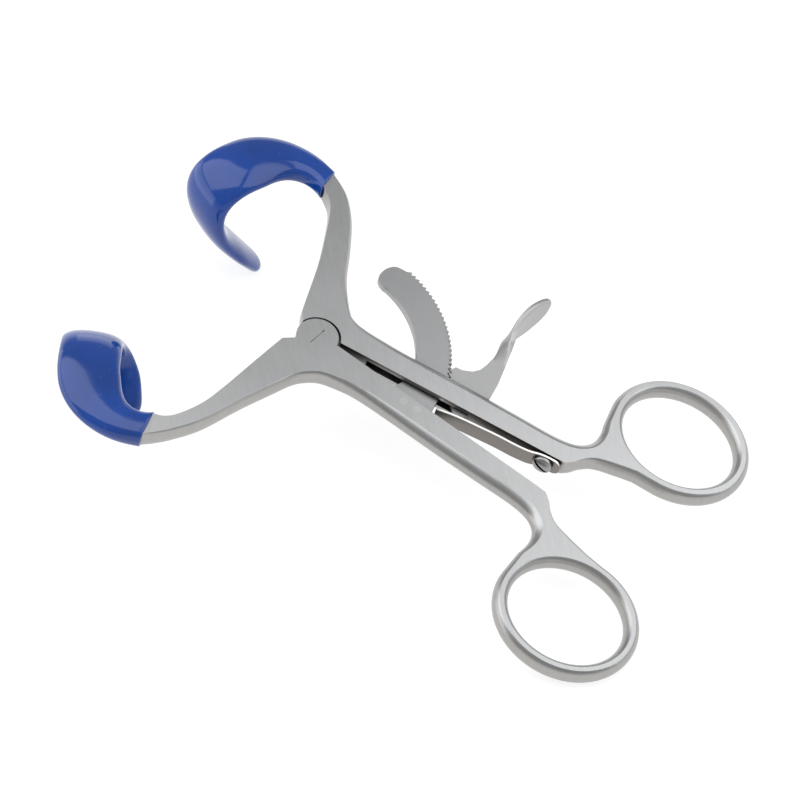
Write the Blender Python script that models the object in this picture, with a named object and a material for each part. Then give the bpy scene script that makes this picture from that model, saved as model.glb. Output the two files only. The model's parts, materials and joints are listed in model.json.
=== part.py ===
"""A ratcheting mouth-opening retractor: two ring-handled steel arms that turn on
one flush pivot, hooked jaws in soft silicone boots, and a ratchet with a sprung
release lever that holds the jaws apart.

Lengths are written in millimetres and made in metres. Each arm has its own flat
frame: u runs from the pivot along the handle, v points outwards, away from the
other arm, and z is 0 on the arms' upper flat, so the arms fill z -4.8 to 0.
"""

import math

import bmesh
import bpy
from mathutils import Matrix, Vector
from mathutils.geometry import tessellate_polygon

MM = 0.001

# Driving dimensions, in millimetres and degrees.
ARM_THICK = 4.8
MIDDLE_Z = -ARM_THICK / 2
CLEAR = 0.3
HALF_OPEN = 4.095
BOSS_R = 4.95
RECESS_R = 5.35
PIVOT_R = 2.6
INNER_UPPER = 1.3
INNER_LOWER = -1.2
RING_CENTRE = (83.7, 22.1)
RING_OUT = (16.7, 15.1)
RING_HOLE = (13.3, 11.6)
RING_TILT = -8.0
RING_ROUND = 1.15
UPPER_RING_GROW = 1.045
RACK_INNER_R = 23.3
RACK_ROOT_R = 31.15
RACK_TIP_R = 32.1
PLATE_Z = (-3.3, -1.5)
SLOT_Z = (-3.6, -1.2)
TOOTH_STEP = 2.36
TOOTH_LEAN = 0.2 * TOOTH_STEP
TOOTH_FIRST = 9.5
TOOTH_COUNT = 29
PAWL_TEETH = (6, 5, 4)
PAWL_DEPTH = 0.7
RIVET_R = 0.9
RIVETS = ((25.4, 0.9), (29.0, 0.6))
LEVER_PIN = (36.5, 3.6)
LEVER_PIN_R = 0.9
PIN_ENDS = (-ARM_THICK + 0.05, -0.03)
THROUGH = (-8.0, 3.0)
SPRING_START = 32.9
SPRING_END = 63.4
SPRING_HALF = 0.3
SPRING_WIDE = 2.3
SCREW_U = 59.2
SCREW_SHANK_R = 1.2
SCREW_HEAD_R = 2.4
SCREW_TURN = 28.7
PIVOT_SLOT_TURN = 81.3
WALL_ACROSS = 0.85
WALL_THROUGH = 0.75
REST_ROLL = 5.334
REST_PITCH = 9.79
PATH_STEPS = 480

# The two hooks were bent by hand and differ a little, so each has its own numbers.
HOOK_UPPER = dict(
    start=(-19.7, 42.65), heading=(151.0, 242.0), turn=22.6, flat=25.2,
    fold_r=8.8, leg_r=13.9, fold=128.0, leg=16.0, drift=0.29,
    width=(6.4, 15.3, 9.8), thick=(5.7, 5.5, 4.1), oblique=28.0, ease=0.05,
)
HOOK_LOWER = dict(
    start=(-13.86, 44.4), heading=(138.0, 237.0), turn=25.4, flat=23.2,
    fold_r=13.2, leg_r=2.2, fold=135.0, leg=12.7, drift=0.48,
    width=(7.6, 13.9, 9.2), thick=(5.7, 5.5, 3.9), oblique=26.0, ease=0.47,
)


def clear_scene():
    for obj in list(bpy.data.objects):
        bpy.data.objects.remove(obj, do_unlink=True)


def material(name, colour, metallic, roughness):
    made = bpy.data.materials.new(name)
    made.use_nodes = True
    shader = made.node_tree.nodes["Principled BSDF"]
    shader.inputs["Base Color"].default_value = (*colour, 1.0)
    shader.inputs["Metallic"].default_value = metallic
    shader.inputs["Roughness"].default_value = roughness
    return made


def new_object(name, points, faces, look=None):
    """A mesh object from points in millimetres, with its faces turned outwards."""
    mesh = bpy.data.meshes.new(name)
    mesh.from_pydata([Vector(p) * MM for p in points], [], faces)
    shape = bmesh.new()
    shape.from_mesh(mesh)
    bmesh.ops.recalc_face_normals(shape, faces=shape.faces)
    if shape.calc_volume(signed=True) < 0:
        bmesh.ops.reverse_faces(shape, faces=shape.faces)
    shape.to_mesh(mesh)
    shape.free()
    made = bpy.data.objects.new(name, mesh)
    bpy.context.scene.collection.objects.link(made)
    if look is not None:
        mesh.materials.append(look)
    return made


def cutter(made):
    made.hide_render = True
    made.display_type = "WIRE"
    return made


def boolean(target, tool, operation):
    step = target.modifiers.new(operation.lower() + "_" + tool.name, "BOOLEAN")
    step.operation = operation
    step.solver = "EXACT"
    step.object = cutter(tool)


def bake(target):
    """Applies the modifiers, so the object can be moved without its cutters."""
    bpy.context.view_layer.update()
    graph = bpy.context.evaluated_depsgraph_get()
    fresh = bpy.data.meshes.new_from_object(target.evaluated_get(graph))
    tools = [step.object for step in target.modifiers if step.type == "BOOLEAN"]
    target.modifiers.clear()
    target.data = fresh
    for tool in tools:
        bpy.data.objects.remove(tool, do_unlink=True)


def spline(points, steps):
    """Catmull-Rom curve through the points, without its last point."""
    ends = [points[0]] + list(points) + [points[-1]]
    found = []
    for i in range(1, len(ends) - 2):
        p0, p1, p2, p3 = ends[i - 1], ends[i], ends[i + 1], ends[i + 2]
        for k in range(steps):
            t = k / steps
            found.append(tuple(
                0.5 * (2 * b + (c - a) * t + (2 * a - 5 * b + 4 * c - d) * t * t
                       + (3 * b - a - 3 * c + d) * t ** 3)
                for a, b, c, d in zip(p0, p1, p2, p3)
            ))
    return found


def ellipse(centre, radii, tilt, start, end, count, rounding):
    """Points (u, v, rounding) on a tilted ellipse between two angles."""
    turn = math.radians(tilt)
    found = []
    for k in range(count):
        a = math.radians(start + (end - start) * k / (count - 1))
        x = radii[0] * math.cos(a)
        y = radii[1] * math.sin(a)
        found.append((
            centre[0] + x * math.cos(turn) - y * math.sin(turn),
            centre[1] + x * math.sin(turn) + y * math.cos(turn),
            rounding,
        ))
    return found


def inward(loop):
    """Unit normals to the left of each point of a closed loop of (u, v, ...)."""
    found = []
    for i, point in enumerate(loop):
        before = Vector(loop[i - 1][:2])
        here = Vector(point[:2])
        after = Vector(loop[(i + 1) % len(loop)][:2])
        one = (here - before).normalized()
        two = (after - here).normalized()
        along = (one + two).normalized()
        stretch = 1.0 / max(math.sqrt(max(0.5 + 0.5 * one.dot(two), 0.0)), 0.6)
        found.append((-along.y * stretch, along.x * stretch))
    return found


def slab(name, outer, holes, look):
    """A plate whose edges round over by each point's own depth.

    The outer loop runs anticlockwise and each hole clockwise, so the material is
    always on the left.
    """
    levels = (-1.0, -0.8, -0.42, 0.0, 0.42, 0.8, 1.0)
    reach = 0.93
    full = 1.0 - math.sqrt(1.0 - reach * reach)
    points = []
    faces = []
    loops = [outer] + holes
    starts = []
    for level in levels:
        share = (1.0 - math.sqrt(1.0 - (reach * level) ** 2)) / full
        z = MIDDLE_Z + level * ARM_THICK / 2
        for loop in loops:
            if level == levels[0]:
                starts.append(len(points))
            for (u, v, depth), (nx, ny) in zip(loop, inward(loop)):
                points.append((u + nx * depth * share, v + ny * depth * share, z))
    ring = sum(len(loop) for loop in loops)
    for row in range(len(levels) - 1):
        for loop, start in zip(loops, starts):
            for i in range(len(loop)):
                j = (i + 1) % len(loop)
                a = row * ring + start + i
                b = row * ring + start + j
                faces.append((a, b, b + ring, a + ring))
    for row, flip in ((0, True), (len(levels) - 1, False)):
        flat = []
        for loop, start in zip(loops, starts):
            flat.append([
                Vector((*points[row * ring + start + i][:2], 0.0))
                for i in range(len(loop))
            ])
        for a, b, c in tessellate_polygon(flat):
            corners = (a + row * ring, b + row * ring, c + row * ring)
            faces.append(corners[::-1] if flip else corners)
    return new_object(name, points, faces, look)


def prism(name, outline, low, high, look=None):
    """A straight-sided plate from a closed outline of (u, v)."""
    count = len(outline)
    points = [(u, v, low) for u, v in outline] + [(u, v, high) for u, v in outline]
    faces = [(i, (i + 1) % count, (i + 1) % count + count, i + count) for i in range(count)]
    flat = [Vector((u, v, 0.0)) for u, v in outline]
    for a, b, c in tessellate_polygon([flat]):
        faces.append((a, b, c))
        faces.append((c + count, b + count, a + count))
    return new_object(name, points, faces, look)


def disc(centre, radius, count=32):
    return [
        (centre[0] + radius * math.cos(2 * math.pi * k / count),
         centre[1] + radius * math.sin(2 * math.pi * k / count))
        for k in range(count)
    ]


def rod(name, start, end, radius, count=20, look=None):
    """A round bar between two points."""
    start = Vector(start)
    end = Vector(end)
    turn = (end - start).to_track_quat("Z", "Y")
    rings = []
    for centre in (start, end):
        ring = []
        for k in range(count):
            a = 2 * math.pi * k / count
            ring.append(centre + turn @ Vector((radius * math.cos(a), radius * math.sin(a), 0)))
        rings.append(ring)
    return loft(name, rings, look)


def bore(name, spot, radius, count=20):
    """A cutter that runs right through the arms, square to their flats."""
    return rod(name, (*spot, THROUGH[0]), (*spot, THROUGH[1]), radius, count)


def loft(name, rings, look=None):
    """A closed skin over rings of points, capped at both ends."""
    around = len(rings[0])
    points = [p for ring in rings for p in ring]
    faces = []
    for row in range(len(rings) - 1):
        for k in range(around):
            a = row * around + k
            b = row * around + (k + 1) % around
            faces.append((a, b, b + around, a + around))
    faces.append(tuple(range(around))[::-1])
    faces.append(tuple(range(len(points) - around, len(points))))
    return new_object(name, points, faces, look)


def block(name, low, high):
    outline = [(low[0], low[1]), (high[0], low[1]), (high[0], high[1]), (low[0], high[1])]
    return prism(name, outline, low[2], high[2])


# ---- hooks ------------------------------------------------------------------


def blend(value, stops):
    """Straight-line value between (position, amount) stops."""
    for (a, x), (b, y) in zip(stops, stops[1:]):
        if value <= b:
            return x + (y - x) * max(value - a, 0.0) / (b - a)
    return stops[-1][1]


def hook_path(hook):
    """Stations of the hook's middle line: distance, place, run, across and normal."""
    fold_end = hook["flat"] + hook["fold_r"] * math.pi / 2
    leg_end = fold_end + hook["leg_r"] * math.radians(hook["fold"] - 90)
    total = leg_end + hook["leg"]
    bends = ((0, 0), (hook["flat"], 0), (fold_end, 90), (leg_end, hook["fold"]), (total, hook["fold"]))
    spot = Vector((hook["start"][0], hook["start"][1], MIDDLE_Z))
    step = total / PATH_STEPS
    found = []
    last = None
    for k in range(PATH_STEPS + 1):
        s = k * step
        pitch = math.radians(sum(blend(s + d, bends) for d in (-2.4, -1.2, 0, 1.2, 2.4)) / 5)
        share = min(s / hook["turn"], 1.0)
        share += hook["ease"] * share * (1 - share)
        yaw = math.radians(hook["heading"][0] + (hook["heading"][1] - hook["heading"][0]) * share)
        level = Vector((math.cos(yaw), math.sin(yaw), 0))
        across = Vector((-math.sin(yaw), math.cos(yaw), 0))
        run = level * math.cos(pitch) - Vector((0, 0, 1)) * math.sin(pitch)
        normal = level * math.sin(pitch) + Vector((0, 0, 1)) * math.cos(pitch)
        slide = hook["drift"] * min(max((math.degrees(pitch) - 40) / 50, 0), 1)
        travel = run + across * slide
        if last is not None:
            spot = spot + (last + travel) * (step / 2)
        last = travel
        found.append((s, spot.copy(), run, across, normal))
    return found, total


def hook_ring(hook, total, station, around, thinner, reach):
    """One ring of the hook's skin, thinner across and through, rounded off towards reach."""
    s, centre, run, across, normal = station
    share = s / total
    w = hook["width"]
    t = hook["thick"]
    width = blend(share, ((0, w[0]), (0.35, w[1]), (0.8, w[1]), (1, w[2]))) - 2 * thinner[0]
    thick = blend(share, ((0, t[0]), (0.35, t[1]), (1, t[2]))) - 2 * thinner[1]
    left = max(reach - s, 0.0)
    width *= max(math.sqrt(max(1 - (1 - min(left / (width / 2), 1)) ** 2.4, 0)), 0.25)
    thick *= max(math.sqrt(max(1 - (1 - min(left / (thick / 2), 1)) ** 2, 0)), 0.3)
    lean = math.tan(math.radians(hook["oblique"])) * min(max(1 - s / 5.0, 0), 1)
    ring = []
    for k in range(around):
        a = 2 * math.pi * k / around
        x = math.copysign(abs(math.cos(a)) ** 0.6, math.cos(a)) * width / 2
        y = math.copysign(abs(math.sin(a)) ** 0.75, math.sin(a)) * thick / 2
        ring.append(centre + across * x + normal * y - run * x * lean)
    return ring


def hook_tube(hook, count, around, thinner, short):
    """Rings of the hook's skin from its root to a rounded end, short of the full length."""
    path, total = hook_path(hook)
    reach = total - short
    evenly = [total * k / (count - 1) for k in range(count)]
    distances = [s for s in evenly if s < reach - 0.9] + [reach - back for back in (0.9, 0.35, 0.06)]
    rings = []
    for s in distances:
        station = path[round(s / total * PATH_STEPS)]
        rings.append(hook_ring(hook, total, station, around, thinner, reach))
    return rings


def boot(name, hook, look):
    """A hollow silicone boot: an outer skin, an inner skin, and an open arm end."""
    outside = hook_tube(hook, 26, 16, (0.0, 0.0), 0.0)
    inside = hook_tube(hook, 26, 16, (WALL_ACROSS, WALL_THROUGH), 1.1)
    made = loft(name, outside[::-1] + inside, look)
    for polygon in made.data.polygons:
        polygon.use_smooth = True
    return made


def blade(name, hook):
    """The steel tongue inside the boot, with its root buried in the arm."""
    path, total = hook_path(hook)
    first = path[0]
    thinner = (WALL_ACROSS + CLEAR + 0.05, WALL_THROUGH + CLEAR + 0.05)
    root = []
    for back in (2.4, 1.2):
        station = (0.0, first[1] - first[2] * back, first[2], first[3], first[4])
        root.append(hook_ring(hook, total, station, 12, thinner, total))
    return loft(name, root + hook_tube(hook, 22, 12, thinner, 1.6))


# ---- arms -------------------------------------------------------------------


def ring_shape(inner, grow):
    """Centre, outer and hole semi-axes of a finger ring, grown from the named size."""
    centre = (RING_CENTRE[0] + 9.0 * (grow - 1), RING_CENTRE[1] + inner)
    outer = (RING_OUT[0] * grow, RING_OUT[1] * grow)
    hole = (RING_HOLE[0] * grow, RING_HOLE[1] * grow)
    return centre, outer, hole


def ring_hole(inner, grow):
    centre, _, hole = ring_shape(inner, grow)
    loop = ellipse(centre, hole, RING_TILT, 0, 351, 40, RING_ROUND)
    return loop[::-1]


def arm_outline(inner, grow, outside, jaw_corner, inside, joint):
    """Anticlockwise outline of one arm in (u, v, rounding depth)."""
    handle = [(5.1, inner, 0.1), (12.0, inner, 0.12), (61.5, inner, 0.12)]
    neck_low = spline([
        (63.7, inner + 0.1, 0.15), (65.6, inner + 1.3, 0.4), (67.4, inner + 3.1, 0.7),
        (70.0, inner + 4.7, 1.0), (74.5, inner + 5.7, 1.2), (79.5, inner + 6.6, 1.2),
    ], 2)
    centre, outer, _ = ring_shape(inner, grow)
    ring = ellipse(centre, outer, RING_TILT, -82, 186, 40, RING_ROUND)
    neck_high = spline([
        (67.1, inner + 16.6, 1.2), (67.5, inner + 13.4, 1.5), (67.1, inner + 10.6, 1.8),
        (65.6, inner + 8.4, 2.0), (62.8, inner + 7.0, 2.1), (58.0, inner + 6.5, 2.1),
        (50.0, inner + 6.75, 2.1),
    ], 3)
    back = [(40.0, inner + 7.0, 2.1)]
    return handle + neck_low + ring + neck_high + back + outside + [jaw_corner] + inside + joint


def jaw_end(hook):
    """The two corners where the arm's flat stops, just short of the boot."""
    yaw = math.radians(hook["heading"][0])
    lean = math.tan(math.radians(hook["oblique"]))
    half = hook["width"][0] / 2 - 0.75
    run = Vector((math.cos(yaw), math.sin(yaw)))
    across = Vector((-run.y, run.x))
    base = Vector(hook["start"]) - run * (CLEAR + 0.05)
    near = base + across * half - run * half * lean
    far = base - across * half + run * half * lean
    return near, far


def lap_joint(arm, recess_z, boss_z):
    """Cuts half the arm's thickness away round the pivot, and leaves a round boss in the rest."""
    boolean(arm, prism("lap_recess", disc((0, 0), RECESS_R, 48), *recess_z), "DIFFERENCE")
    bake(arm)
    boolean(arm, prism("lap_boss", disc((0, 0), BOSS_R, 40), *boss_z), "UNION")
    bake(arm)


def cut_away(arm, cutters):
    for tool in cutters:
        boolean(arm, tool, "DIFFERENCE")
        bake(arm)


def upper_arm(steel):
    near, far = jaw_end(HOOK_UPPER)
    outside = spline([
        (30.0, 8.4, 2.1), (20.0, 8.45, 2.1), (14.0, 8.7, 2.0), (9.0, 9.0, 1.8), (5.4, 9.7, 1.4),
        (2.9, 11.6, 1.1), (-1.8, 18.8, 1.0), (-5.4, 27.4, 0.95), (-9.3, 35.6, 0.9),
        (-14.0, 41.8, 0.8), (far.x, far.y, 0.5),
    ], 3)
    inside = spline([
        (near.x, near.y, 0.2), (-17.0, 37.2, 0.25), (-15.1, 34.1, 0.25), (-12.8, 28.0, 0.2),
        (-9.9, 18.9, 0.15), (-7.2, 7.2, 0.15),
    ], 3) + [(-6.5, 4.3, 0.1)]
    joint = [(-5.9, 3.1, 0.1), (-5.1, 2.0, 0.1), (-4.7, 1.2, 0.1)]
    outline = arm_outline(INNER_UPPER, UPPER_RING_GROW, outside, (far.x, far.y, 0.3), inside, joint)
    arm = slab("upper_arm", outline, [ring_hole(INNER_UPPER, UPPER_RING_GROW)], steel)
    lap = MIDDLE_Z - CLEAR / 2
    lap_joint(arm, (lap, 2.0), (-ARM_THICK, lap))
    boolean(arm, blade("upper_blade", HOOK_UPPER), "UNION")
    bake(arm)
    cut_away(arm, [
        bore("pivot_hole_upper", (0, 0), PIVOT_R + CLEAR, 32),
        block("lever_slot", (20.5, 2.2, SLOT_Z[0]), (43.5, 12.0, SLOT_Z[1])),
        block("slot_mouth", (20.5, -1.0, SLOT_Z[0]), (40.2, 2.3, SLOT_Z[1])),
        block("bar_pocket", (12.5, -1.0, SLOT_Z[0]), (20.6, 4.3, SLOT_Z[1])),
        bore("lever_pin_hole", LEVER_PIN, LEVER_PIN_R + CLEAR),
        rod("screw_hole", (SCREW_U, -3, MIDDLE_Z), (SCREW_U, 6.0, MIDDLE_Z), SCREW_SHANK_R + CLEAR),
    ])
    return arm


def lower_arm(steel):
    near, far = jaw_end(HOOK_LOWER)
    outside = spline([
        (30.0, 5.85, 2.0), (20.0, 5.9, 1.7), (14.5, 6.2, 1.4), (10.5, 7.0, 1.1), (7.1, 8.1, 1.0),
        (4.6, 10.2, 1.0), (2.9, 12.7, 1.0), (1.3, 16.9, 0.95), (-1.9, 25.8, 0.9),
        (-5.0, 35.8, 0.85), (-8.4, 42.2, 0.8), (-11.2, 46.0, 0.7), (far.x, far.y, 0.5),
    ], 3)
    inside = spline([
        (near.x, near.y, 0.2), (-12.7, 40.3, 0.25), (-10.7, 37.7, 0.2), (-8.6, 32.1, 0.2),
        (-7.6, 25.7, 0.15), (-6.7, 14.6, 0.15),
    ], 3) + [(-5.9, 6.2, 0.1)]
    joint = [(-5.8, 5.8, 0.1), (-3.5, 3.5, 0.1), (0.0, 1.5, 0.1)]
    outline = arm_outline(INNER_LOWER, 1.0, outside, (far.x, far.y, 0.3), inside, joint)
    arm = slab("lower_arm", outline, [ring_hole(INNER_LOWER, 1.0)], steel)
    lap = MIDDLE_Z + CLEAR / 2
    lap_joint(arm, (THROUGH[0], lap), (lap, 0.0))
    boolean(arm, blade("lower_blade", HOOK_LOWER), "UNION")
    bake(arm)
    cutters = [
        bore("pivot_hole_lower", (0, 0), PIVOT_R + CLEAR, 32),
        block("bar_slot", (20.8, -4.0, SLOT_Z[0]), (33.0, 3.9, SLOT_Z[1])),
    ]
    for k, spot in enumerate(RIVETS):
        cutters.append(bore("rivet_hole_%d" % k, spot, RIVET_R + CLEAR))
    cut_away(arm, cutters)
    return arm


# ---- ratchet, lever, spring and fixings -------------------------------------


def polar(radius, angle):
    a = math.radians(angle)
    return (radius * math.cos(a), radius * math.sin(a))


def ratchet_bar(steel):
    """Toothed arc about the pivot, drawn in the closed-up frame between the arms."""
    outline = [polar(31.3, -10.2), polar(31.4, -2.0), polar(31.3, TOOTH_FIRST - 1.5)]
    for k in range(TOOTH_COUNT):
        base = TOOTH_FIRST + TOOTH_STEP * k
        outline.append(polar(RACK_ROOT_R, base))
        outline.append(polar(RACK_TIP_R, base + TOOTH_LEAN))
    last = TOOTH_FIRST + TOOTH_STEP * TOOTH_COUNT
    outline += [polar(31.2, last), polar(30.4, last + 5.0), polar(28.6, last + 7.6),
                polar(26.4, last + 8.4), polar(24.6, last + 7.4), polar(23.6, last + 4.2)]
    for k in range(16):
        outline.append(polar(RACK_INNER_R, last - (last - 7.0) * k / 15))
    outline += [polar(22.6, 1.5), polar(21.9, -3.0), polar(21.7, -12.6), (24.0, -4.9), (28.5, -5.3)]
    bar = prism("ratchet_bar", outline, *PLATE_Z, steel)
    cut_away(bar, [
        bore("bar_hole_%d" % k, lower_point(*spot), RIVET_R + CLEAR) for k, spot in enumerate(RIVETS)
    ])
    return bar


def lower_point(u, v):
    """A point of the lower arm's frame in the frame between the arms."""
    a = math.radians(-HALF_OPEN)
    return (u * math.cos(a) + v * math.sin(a), u * math.sin(a) - v * math.cos(a))


def pawl_outline():
    """The pawl plate, from its foot up its right edge and down its toothed left edge."""
    right = [(36.0, -0.7), (38.0, -0.55), (38.9, 1.0), (40.4, 4.0), (41.3, 8.5), (41.2, 14.0),
             (40.8, 17.4), (40.62, 18.9)]
    left = [(37.0, 18.9), (36.6, 16.6), (35.9, 14.5), (34.6, 13.0), (32.7, 12.3), (31.0, 12.1)]
    teeth = []
    crest = RACK_TIP_R + CLEAR
    for k in PAWL_TEETH:
        base = TOOTH_FIRST + TOOTH_STEP * k - HALF_OPEN
        teeth.append(polar(crest + PAWL_DEPTH, base + TOOTH_LEAN))
        teeth.append(polar(crest, base))
    foot = [(32.7, 7.4), (32.8, 5.2), (33.7, 2.7), (35.2, 1.2)]
    return right + left + teeth + foot


def ribbon_ring(centre, across, half, twist, thick, square):
    """A rounded-rectangle ring across a ribbon, twisted about the ribbon's run."""
    up = Vector((0, 0, 1))
    a = math.radians(twist)
    wide = across * math.cos(a) + up * math.sin(a)
    deep = up * math.cos(a) - across * math.sin(a)
    ring = []
    for k in range(16):
        b = 2 * math.pi * (k + 0.5) / 16
        x = math.copysign(abs(math.cos(b)) ** square, math.cos(b)) * half
        y = math.copysign(abs(math.sin(b)) ** square, math.sin(b)) * thick / 2
        ring.append(centre + wide * x + deep * y)
    return ring


def thumb_pad(name):
    """The stem above the pawl, twisting a quarter turn into an oval pad."""
    rows = spline([
        # centre u, centre v, half width, twist, thickness, squareness, drop
        (38.82, 18.4, 1.84, 0, 1.79, 0.3, 0.0),
        (38.8, 19.4, 1.66, 1, 1.79, 0.3, 0.0),
        (38.72, 20.9, 1.42, 7, 1.75, 0.3, 0.0),
        (38.55, 22.5, 1.22, 20, 1.68, 0.3, 0.0),
        (38.35, 24.2, 1.12, 40, 1.6, 0.3, 0.0),
        (38.1, 26.0, 1.35, 64, 1.55, 0.3, 0.1),
        (37.95, 28.0, 2.2, 80, 1.55, 0.32, 0.3),
        (38.0, 30.2, 3.5, 88, 1.55, 0.34, 0.6),
        (38.4, 32.8, 4.8, 90, 1.55, 0.36, 0.9),
        (39.1, 35.6, 5.5, 90, 1.55, 0.36, 1.1),
        (40.05, 38.2, 5.2, 90, 1.5, 0.4, 1.1),
        (41.0, 40.3, 4.2, 90, 1.4, 0.45, 0.8),
        (41.65, 41.6, 2.7, 90, 1.2, 0.55, 0.5),
        (42.0, 42.3, 0.7, 90, 0.6, 0.9, 0.3),
    ], 2)
    rings = []
    for i, (u, v, half, twist, thick, square, drop) in enumerate(rows):
        ahead = rows[min(i + 1, len(rows) - 1)]
        behind = rows[max(i - 1, 0)]
        run = Vector((ahead[0] - behind[0], ahead[1] - behind[1])).normalized()
        across = Vector((run.y, -run.x, 0))
        centre = Vector((u, v, sum(PLATE_Z) / 2 - drop))
        rings.append(ribbon_ring(centre, across, half, twist, thick, square))
    return loft(name, rings)


def release_lever(steel):
    """The toothed pawl plate with its stem and thumb pad, bored for its pin."""
    lever = prism("release_lever", pawl_outline(), *PLATE_Z, steel)
    boolean(lever, thumb_pad("thumb_pad"), "UNION")
    bake(lever)
    cut_away(lever, [bore("lever_bore", LEVER_PIN, LEVER_PIN_R + CLEAR)])
    return lever


def leaf_spring(steel):
    """A flat strip, screwed down at its ring end and bent away towards the lever."""
    line = spline([
        (SPRING_START, -1.87), (37.4, -1.2), (43.0, -0.8), (47.5, -0.55), (51.4, -0.3), (54.0, 0.25),
        (55.6, 0.64), (56.8, 0.7), (SCREW_U, 0.7), (SPRING_END, 0.7),
    ], 3)
    line.append((SPRING_END, 0.7))
    rings = []
    for k, (u, v) in enumerate(line):
        nu, nv = line[min(k + 1, len(line) - 1)]
        bu, bv = line[max(k - 1, 0)]
        along = Vector((nu - bu, nv - bv)).normalized()
        side = Vector((-along.y, along.x))
        from_end = min(u - SPRING_START, SPRING_END - u)
        corner = 2.0 if u > 48 else 0.7
        half = SPRING_WIDE - corner + math.sqrt(max(corner ** 2 - max(corner - from_end, 0) ** 2, 0.01))
        rings.append([
            Vector((u + side.x * a * SPRING_HALF, v + side.y * a * SPRING_HALF, MIDDLE_Z + b * half))
            for a, b in ((-1, -1), (1, -1), (1, 1), (-1, 1))
        ])
    spring = loft("leaf_spring", rings, steel)
    hole = rod("spring_hole", (SCREW_U, -4, MIDDLE_Z), (SCREW_U, 4, MIDDLE_Z), SCREW_SHANK_R + CLEAR)
    cut_away(spring, [hole])
    return spring


def spring_screw(steel):
    """A slotted round-headed screw, lying along v into the upper arm."""
    profile = [(-1.3, 1.0), (-1.05, 1.95), (-0.5, SCREW_HEAD_R), (0.12, SCREW_HEAD_R),
               (0.12, SCREW_SHANK_R), (5.4, SCREW_SHANK_R - 0.05)]
    rings = []
    for v, radius in profile:
        ring = []
        for k in range(24):
            a = 2 * math.pi * k / 24
            ring.append(Vector((SCREW_U + radius * math.cos(a), v, MIDDLE_Z + radius * math.sin(a))))
        rings.append(ring)
    screw = loft("spring_screw", rings, steel)
    slot = block("screw_slot", (-3.6, -2.0, -0.3), (3.6, -0.75, 0.3))
    slot.data.transform(Matrix.Rotation(math.radians(SCREW_TURN), 4, "Y"))
    slot.data.transform(Matrix.Translation(Vector((SCREW_U, 0, MIDDLE_Z)) * MM))
    cut_away(screw, [slot])
    return screw


def pin_between(name, spot, radius, count, look):
    """A flush pin or rivet, a hair short of both flats of the arms."""
    return rod(name, (*spot, PIN_ENDS[0]), (*spot, PIN_ENDS[1]), radius, count, look)


def pivot_pin(steel):
    """The flush pivot, with a thin slot across its end."""
    pin = pin_between("pivot_pin", (0, 0), PIVOT_R, 32, steel)
    slot = block("pivot_slot", (-3.5, -0.12, -0.35), (3.5, 0.12, 1.0))
    slot.data.transform(Matrix.Rotation(math.radians(PIVOT_SLOT_TURN), 4, "Z"))
    cut_away(pin, [slot])
    return pin


# ---- assembly ---------------------------------------------------------------


def place(obj, side, origin=(0.0, 0.0)):
    """Turns a piece from its arm's frame into the frame between the arms.

    The mesh is moved so that the object's own origin is at origin, its joint axis.
    """
    angle = math.radians(HALF_OPEN) * side
    matrix = Matrix.Rotation(angle, 4, "Z")
    if side < 0:
        matrix = matrix @ Matrix.Diagonal((1, -1, 1, 1))
    obj.data.transform(matrix)
    if side < 0:
        obj.data.flip_normals()
    spot = matrix @ Vector((origin[0] * MM, origin[1] * MM, 0))
    obj.data.transform(Matrix.Translation(-spot))
    obj.location = spot


def build():
    clear_scene()
    steel = material("satin_steel", (0.62, 0.63, 0.64), 1.0, 0.32)
    bar_steel = material("plate_steel", (0.58, 0.59, 0.6), 1.0, 0.28)
    spring_steel = material("spring_steel", (0.66, 0.66, 0.66), 1.0, 0.22)
    silicone = material("blue_silicone", (0.03, 0.09, 0.33), 0.0, 0.22)

    frame = bpy.data.objects.new("instrument_frame", None)
    bpy.context.scene.collection.objects.link(frame)

    upper = upper_arm(steel)
    place(upper, 1)
    lower = lower_arm(steel)
    place(lower, -1)
    bar = ratchet_bar(bar_steel)
    pin = pivot_pin(steel)
    rivets = []
    for k, spot in enumerate(RIVETS):
        rivet = pin_between("ratchet_rivet_%d" % (k + 1), spot, RIVET_R, 16, steel)
        place(rivet, -1, spot)
        rivets.append(rivet)
    lever = release_lever(bar_steel)
    place(lever, 1, LEVER_PIN)
    lever_pin = pin_between("lever_pin", LEVER_PIN, LEVER_PIN_R, 16, steel)
    place(lever_pin, 1, LEVER_PIN)
    spring = leaf_spring(spring_steel)
    place(spring, 1)
    screw = spring_screw(steel)
    place(screw, 1)
    upper_boot = boot("upper_jaw_boot", HOOK_UPPER, silicone)
    place(upper_boot, 1)
    lower_boot = boot("lower_jaw_boot", HOOK_LOWER, silicone)
    place(lower_boot, -1)

    pieces = [upper, lower, bar, pin, lever, lever_pin, spring, screw, upper_boot, lower_boot] + rivets
    for piece in pieces:
        piece.parent = frame
    settle(frame, pieces)


def settle(frame, pieces):
    """Tips the tool onto its two hook tips and one ring, with its base centre at the origin."""
    frame.rotation_euler = (math.radians(REST_ROLL), math.radians(REST_PITCH), 0.0)
    bpy.context.view_layer.update()
    corners = [piece.matrix_world @ vertex.co for piece in pieces for vertex in piece.data.vertices]
    low = Vector([min(c[i] for c in corners) for i in range(3)])
    high = Vector([max(c[i] for c in corners) for i in range(3)])
    frame.location = Vector((-(low.x + high.x) / 2, -(low.y + high.y) / 2, -low.z))
    bpy.context.view_layer.update()


build()
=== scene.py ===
"""Looks for the ratcheting mouth and cheek retractor: steel forgings with brushed flats
and rounded sides, glossy blue silicone boots, a pale floor and soft studio light.

Lengths in the shape functions are millimetres in an arm's own flat frame: u runs
from the pivot along the handle, v points away from the other arm, and z is 0 on the
arms' upper flat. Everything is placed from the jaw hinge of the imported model.
"""

import json
import math

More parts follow.
